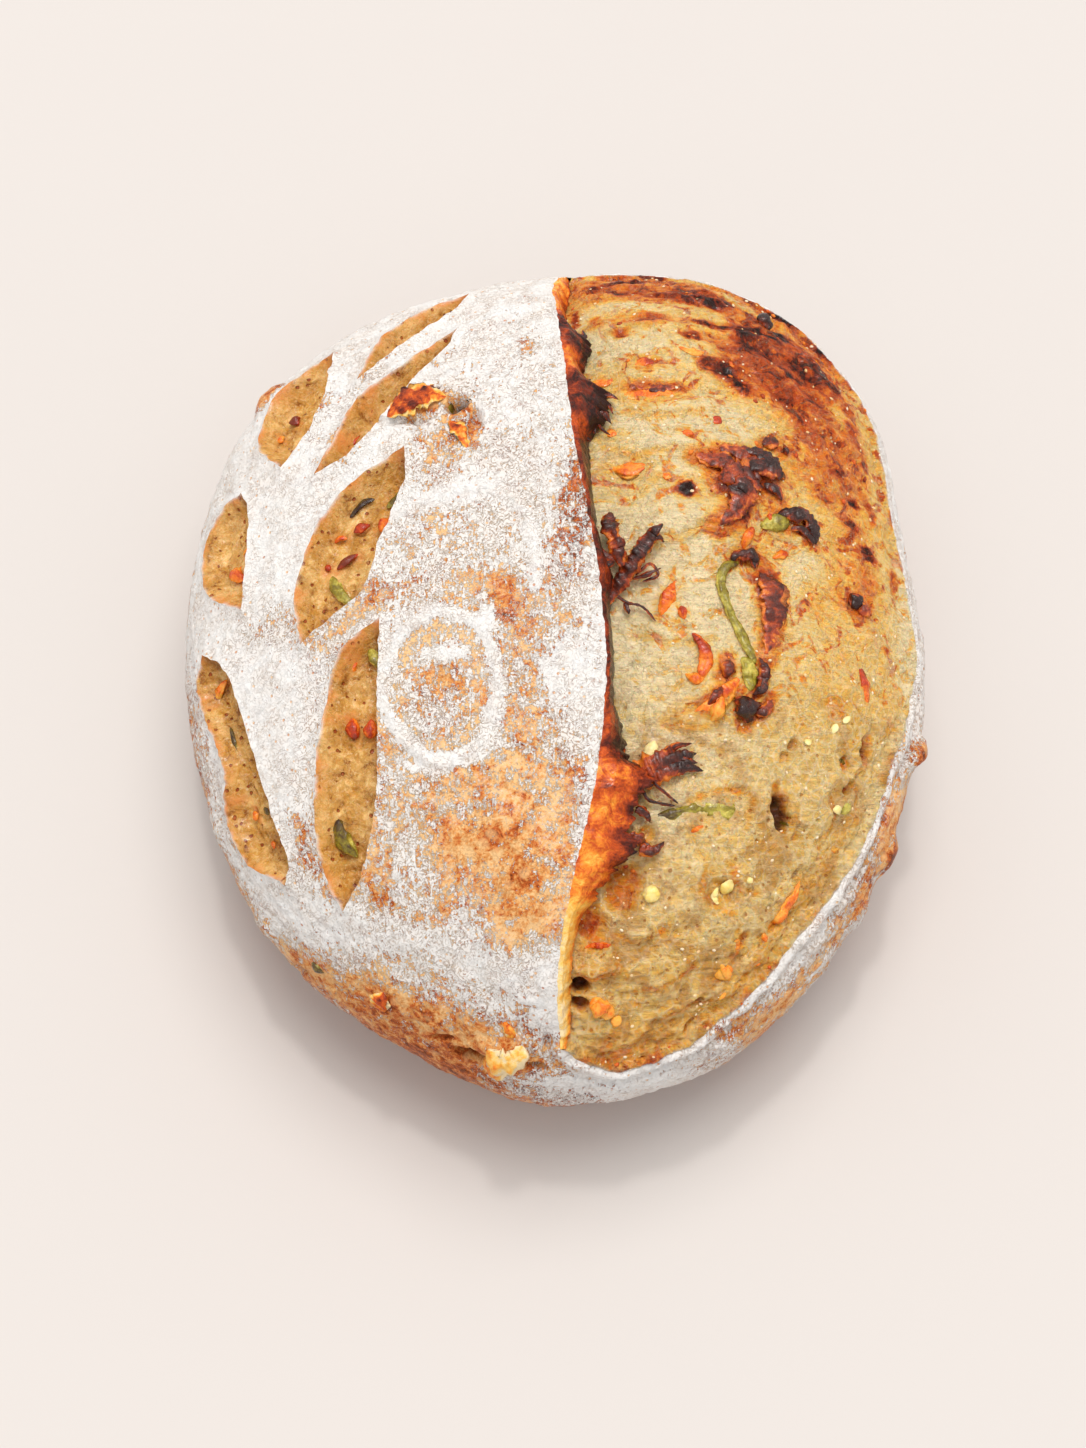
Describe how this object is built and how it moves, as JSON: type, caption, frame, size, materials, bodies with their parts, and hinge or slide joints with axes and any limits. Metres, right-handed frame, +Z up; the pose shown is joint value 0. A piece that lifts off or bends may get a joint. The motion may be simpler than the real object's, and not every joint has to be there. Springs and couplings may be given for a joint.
{
  "type": "sourdough loaf",
  "caption": "Oval floured sourdough loaf, baked in one piece, with a long raised ear beside an opened bloom and leaf-shaped cuts on the other side.",
  "frame": {"origin": "centre of the loaf's bounding box, on the flat base that it rests on", "axes": "+Z up from the base; +Y along the long score, towards the back of the loaf; +X towards the opened bloom"},
  "size_m": [0.2036, 0.2402, 0.0979],
  "materials": {
    "baked_crust": "matte, floured, with toasted and pale patches"
  },
  "bodies": {
    "root": {"loaf": "baked_crust"}
  },
  "joints": []
}
